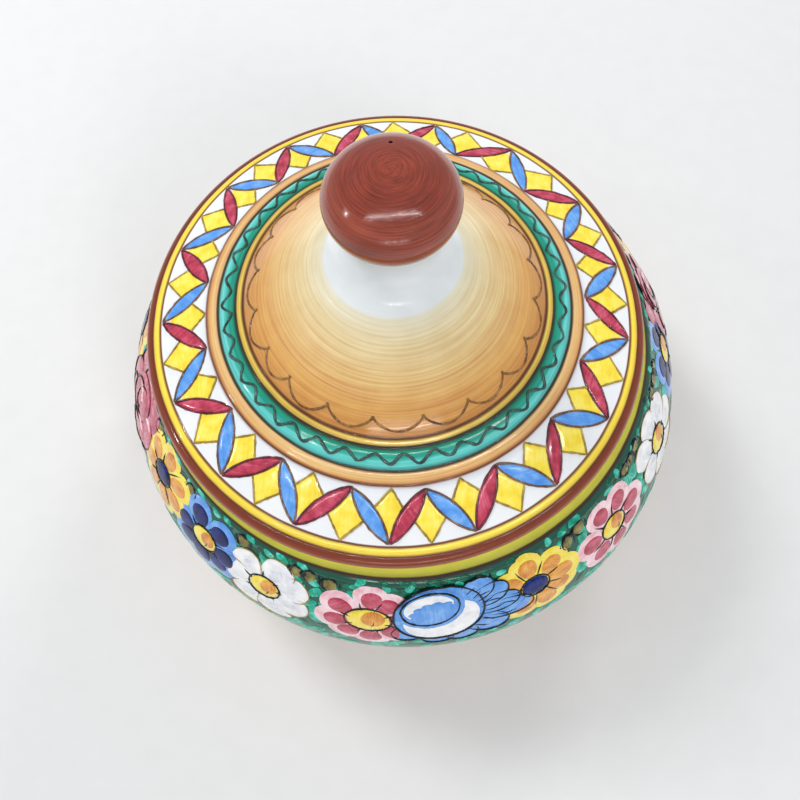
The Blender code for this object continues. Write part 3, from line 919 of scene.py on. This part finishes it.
def paintBlueRose(*centre):
    near, blunt, lift = blueRose["reach"], blueRose["blunt"], blueRose["lift"]
    for i, (turn, far, width) in enumerate(blueRose["fan"]):
        t, rise = radians(turn), 0.05 * i
        petal = petalOutline(centre, turn, near, far, width, 24, blunt)
        coats["sky"].dab(petal, 0.5 + rise, 0.24, run=t)
        edge = petalOutline(centre, turn, near, far + 0.2, width + 0.3, 40, blunt, wobble=0.01)
        inks.stroke(edge[4:37], 0.75, lift=0.7 + rise)
        for k in (-0.1, 0.11):
            vein = [(t + k * b, r) for b, r in ((1.6, 17), (1.5, far - 14), (1.2, far - 11), (0.8, far - 8))]
            spots = [(sin(a) * r, cos(a) * r * flower["squash"]) for a, r in vein]
            penTick(centre, spots, 0.6, 0.78 + rise)

    def oval(x, y, wide, high, turn=-12):
        return ovalOutline(centre, x, y, wide, high, turn, 40, 0.01)

    # the cup: an outer wall, its white inside, a nearer wall, an inked mouth and a scalloped fold
    coats["sky"].dab(oval(-3.2, 0.4, 21.4, 17.8), lift, 0.26)
    inks.stroke(oval(-3.2, 0.4, 21.7, 18.1), 1.1, lift=lift + 0.14, closed=True)
    coats["white"].dab(oval(-2.2, -3.2, 18.2, 13.2, -14), lift + 0.24, 0.16)
    coats["sky"].dab(oval(-6.4, 4, 16.2, 12.6), lift + 0.38, 0.18)
    inks.stroke(oval(-7.2, 5, 14.2, 10.2), 1.2, lift=lift + 0.5, closed=True)
    coats["white"].dab(oval(-7.5, 5.6, 12.6, 8.4), lift + 0.54, 0.1)
    inner, arcPoints = [], 31  # thirty one points follow the scalloped edge, nine the plain one
    for i in range(40):
        if i < arcPoints:
            onArc = i / (arcPoints - 1)
            turn = radians(25 + 185 * onArc)
            bite = 1 - blueRose["scallopDepth"] * (1 - abs(sin(pi * onArc * blueRose["scallops"])))
        else:
            turn, bite = radians(210 + 175 * (i - arcPoints + 1) / (41 - arcPoints)), 1
        u, v = 12.9 * cos(turn) * bite, 7.6 * sin(turn) * bite
        inner.append(bowlSpot(centre, -5.6 + u * 0.978 - v * 0.208, 2.6 + u * 0.208 + v * 0.978))
    coats["sky"].dab(inner, lift + 0.63, 0.1)


redRosePetals = [  # across, up, half width, half height, tilt, coat; from the back petals to the heart
    (0, 1, 23, 18, 0, "crimson"), (-15, 8, 10, 9.5, -35, "rose"), (15, 8, 10, 9.5, 35, "rose"),
    (0, 11, 11, 8, 0, "crimson"), (-17, -5, 8.5, 10, 20, "crimson"), (17, -5, 8.5, 10, -20, "rose"),
    (-8, -12, 11, 7, 12, "rose"), (9, -12, 11, 7, -12, "crimson"), (0, 1, 13.5, 11.5, 0, "rose"),
    (-3.5, -2, 9.5, 8.5, -20, "crimson"), (3.5, 1.5, 8, 7.5, 20, "rose"), (0.5, 0, 4.6, 4.8, 0, "crimson")]


def paintRedRose(angle, drop, starts, side):
    centre = (angle, drop)
    for i, (x, y, w, h, tilt, coat) in enumerate(redRosePetals):
        x, tilt, lift = x * side, tilt * side, 0.24 + 0.12 * i
        petal = ovalOutline(centre, x, y, w, h, tilt, 40, 0.008)
        coats[coat].dab(petal, lift, 0.22, run=radians(tilt))
        if i:
            edge = ovalOutline(centre, x, y, w + 0.1, h + 0.1, tilt, 40, 0.006)
            inks.stroke(edge[starts[i % 3]:starts[i % 3] + 26], 0.95, lift=lift + 0.16)
            crescent = ovalOutline(centre, x, y, w * 0.8, h * 0.8, tilt, 40, 0.006)
            if i % 2:
                coats["pink"].stroke(crescent[3:14], 1.5, lift=lift + 0.22)


paintBlueRose(-82.5, 18.6)
paintBlueRose(86.5, 19)
paintRedRose(-167.5, 16.5, (4, 12, 20), 1)
paintRedRose(11.5, 16.5, (8, 2, 16), -1)
for paintPot in [leaves, shades, olives] + list(coats.values()) + [inks, fineLines]:
    paintPot.finish()
print("garland painted")

view = dict(place=(0.0016606, -0.1333543, 0.3861036), pitch=1.2454145666864775, roll=-0.017350381474525365,
    film=36, lens=601 / 800 * 36)
clearSelection()
bpy.ops.object.camera_add(location=view["place"])
camera = bpy.context.object
across, down, tilt = cos(view["pitch"]), sin(view["pitch"]), view["roll"]
right, up, look = Vector((1, 0, 0)), Vector((0, down, across)), Vector((0, across, -down))
matrix = camera.matrix_world.copy()
for column, axis in enumerate((right * cos(tilt) + up * sin(tilt),
        up * cos(tilt) - right * sin(tilt), -look)):
    for row in range(3):
        matrix[row][column] = axis[row]
camera.matrix_world = matrix
camera.data.lens, camera.data.sensor_width, camera.data.clip_start = view["lens"], view["film"], 0.01
bpy.context.scene.camera = camera

paper = dict(size=6, grain=60, tone=(0.7, 0.74), roughness=0.7)
clearSelection()
bpy.ops.mesh.primitive_plane_add(size=paper["size"], location=(0, 0, 0))
table = bpy.context.object
table.name = "pale_table"
paleTable, tree, place = newMaterial("paleStudioPaper")  # matt paper with a faint cloudy tone
grain = addNode(tree, "TexNoise", inputs={"Vector": place, "Scale": paper["grain"], "Detail": 3})
tone = addNode(tree, "MapRange", inputs=rangeOf(grain, (0, 1), paper["tone"]))
matt = addNode(tree, "BsdfPrincipled", inputs={
    "Base Color": tone, "Roughness": paper["roughness"], "IOR": glass["ior"]})
addNode(tree, "OutputMaterial", inputs={"Surface": matt})
coatWith(table, paleTable)

lamps = [  # name, place, aim, size, watts, whether the glaze mirrors it
    ("key_softbox", (-1.05, 0.95, 1.35), (0, 0, 0.08), (0.55, 0.55), 20, False),
    ("back_softbox", (0.75, 1.45, 0.85), (0, 0, 0.12), (0.5, 0.4), 10, False),
    ("front_softbox", (0.75, -1.25, 1.05), (0, 0, 0.08), (0.5, 0.5), 8, False),
    ("strip_lamp", (0.03, -0.33, 1.2), (0, 0, 0.2), (1.4, 0.01), 3.2, True),
    ("side_lamp", (-0.95, -0.1, 0.75), (0, 0, 0.12), (0.05, 0.03), 0.6, True),
    ("edge_lamp", (0.1, -1.25, 0.72), (0, 0, 0.12), (0.95, 0.01), 1.2, True),
]
for name, place, aim, size, watts, mirrored in lamps:
    clearSelection()
    bpy.ops.object.light_add(type="AREA", location=place)
    lamp = bpy.context.object
    lamp.name, lamp.visible_glossy, lamp.data.energy = name, mirrored, watts
    lamp.data.shape, lamp.data.size, lamp.data.size_y = "RECTANGLE", *size
    lamp.rotation_euler = (Vector(aim) - Vector(place)).to_track_quat("-Z", "Y").to_euler()
air = dict(colour="#E9ECF0", strength=0.47)
world = bpy.data.worlds.new("studio_air")
world.use_nodes = True
world.node_tree.nodes["Background"].inputs["Color"].default_value = linearColour(air["colour"])
world.node_tree.nodes["Background"].inputs["Strength"].default_value = air["strength"]
bpy.context.scene.world = world
bpy.context.scene.view_settings.view_transform = "Standard"

for dab in dabs.values():
    bpy.data.objects.remove(dab)
print("scene ready")
